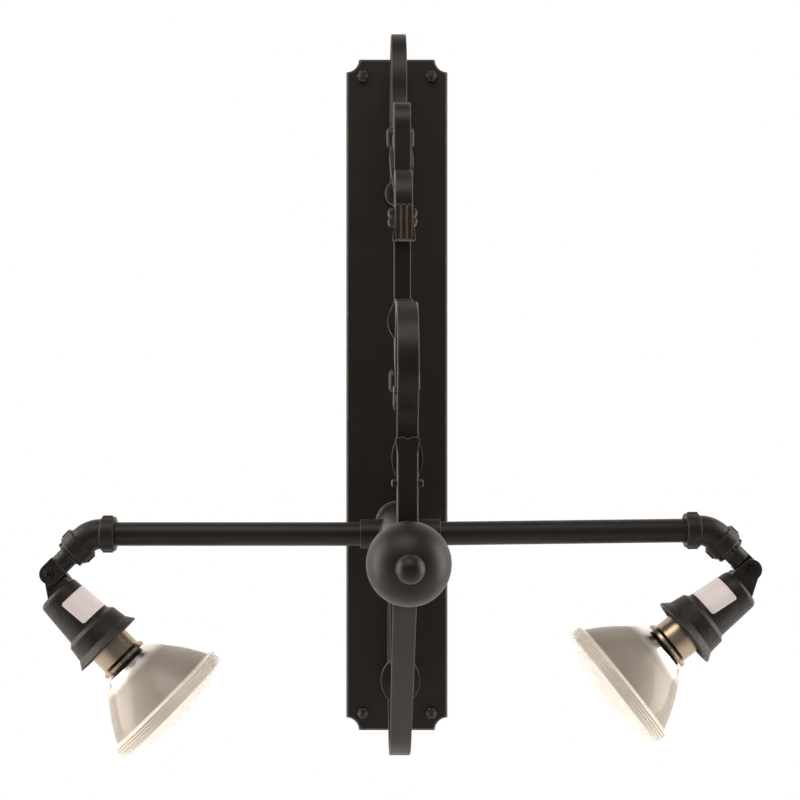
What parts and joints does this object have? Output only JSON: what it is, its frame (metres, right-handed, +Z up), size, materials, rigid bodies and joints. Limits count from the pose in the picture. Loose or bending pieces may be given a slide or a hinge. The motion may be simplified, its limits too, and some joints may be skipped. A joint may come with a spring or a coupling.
{
  "type": "industrial pipe wall light",
  "caption": "Wall light with a tall notched back plate, a boom under a scrolled flat-bar bracket, and pipe arms with swivelling, tilting reflector lamps that aim at a sign or wall.",
  "frame": {"origin": "on the wall plane, midway between the two junction-box screws, level with the boom's axis", "axes": "+X to the viewer's right, +Y into the wall, +Z up; the boom points along -Y"},
  "size_m": [0.6464, 0.4762, 0.6811],
  "materials": {
    "dark_coat": "satin, finely textured",
    "cast_black": "semi-gloss over a cast skin",
    "zinc_plate": "zinc plated",
    "brass": "rolled",
    "black_nylon": "matte",
    "porcelain": "glazed",
    "gasket_rubber": "matte",
    "label_film": "blank, matte",
    "base_glass": "gloss",
    "base_shell": "bright rolled",
    "crimped_skirt": "pale, pressed",
    "silvered_glass": "satin silver",
    "lens_glass": "frosted, warm white",
    "capsule_glass": "clear"
  },
  "bodies": {
    "frame": {"back_plate": "dark_coat", "wall_bracket": "zinc_plate", "wire_bushing": "black_nylon", "corner_studs": "zinc_plate", "acorn_nuts": "dark_coat", "boom_tube": "dark_coat", "boom_cap": "zinc_plate", "finial_ball": "dark_coat", "finial_stud": "zinc_plate", "finial_knob": "dark_coat", "main_scroll_bar": "dark_coat", "upper_crook": "dark_coat", "middle_crook": "dark_coat", "lower_crook": "dark_coat", "front_arch": "dark_coat", "front_riser": "dark_coat", "lower_brace": "dark_coat", "bracket_collars": "dark_coat", "bracket_screws": "zinc_plate", "left_arm_collar": "dark_coat", "left_arm_pipe": "dark_coat", "left_elbow": "dark_coat", "right_arm_collar": "dark_coat", "right_arm_pipe": "dark_coat", "right_elbow": "dark_coat"},
    "left_stem": {"left_swivel_stem": "dark_coat", "left_locknut": "dark_coat", "left_knuckle_screw": "cast_black", "left_knuckle_nut": "cast_black"},
    "left_head": {"left_lampholder": "cast_black", "left_socket_insulator": "porcelain", "left_screw_shell": "brass", "left_centre_contact": "brass", "left_mouth_gasket": "gasket_rubber", "left_blank_label": "label_film"},
    "left_bulb": {"left_bulb_tip": "brass", "left_bulb_insulator": "base_glass", "left_bulb_base": "base_shell", "left_bulb_skirt": "crimped_skirt", "left_bulb_reflector": "silvered_glass", "left_bulb_lens": "lens_glass", "left_bulb_capsule": "capsule_glass"},
    "right_stem": {"right_swivel_stem": "dark_coat", "right_locknut": "dark_coat", "right_knuckle_screw": "cast_black", "right_knuckle_nut": "cast_black"},
    "right_head": {"right_lampholder": "cast_black", "right_socket_insulator": "porcelain", "right_screw_shell": "brass", "right_centre_contact": "brass", "right_mouth_gasket": "gasket_rubber", "right_blank_label": "label_film"},
    "right_bulb": {"right_bulb_tip": "brass", "right_bulb_insulator": "base_glass", "right_bulb_base": "base_shell", "right_bulb_skirt": "crimped_skirt", "right_bulb_reflector": "silvered_glass", "right_bulb_lens": "lens_glass", "right_bulb_capsule": "capsule_glass"}
  },
  "joints": [
    {"name": "left_swivel", "type": "hinge", "parent": "frame", "child": "left_stem", "pos_m": [-0.29424, -0.164, -0.01584], "axis": [-0.7071, 0, -0.7071], "range_deg": [-40, 120]},
    {"name": "left_tilt", "type": "hinge", "parent": "left_stem", "child": "left_head", "pos_m": [-0.31368, -0.164, -0.03528], "axis": [0, 1, 0], "range_deg": [-15, 135]},
    {"name": "left_bulb_out", "type": "slide", "parent": "left_head", "child": "left_bulb", "axis": [0.7071, 0, -0.7071], "range_m": [0, 0.045]},
    {"name": "right_swivel", "type": "hinge", "parent": "frame", "child": "right_stem", "pos_m": [0.29441, -0.164, -0.01224], "axis": [-0.7157, 0, 0.6984], "range_deg": [-40, 120]},
    {"name": "right_tilt", "type": "hinge", "parent": "right_stem", "child": "right_head", "pos_m": [0.31409, -0.164, -0.03145], "axis": [0, -1, 0], "range_deg": [-7, 142]},
    {"name": "right_bulb_out", "type": "slide", "parent": "right_head", "child": "right_bulb", "axis": [-0.7891, 0, -0.6143], "range_m": [0, 0.045]}
  ]
}
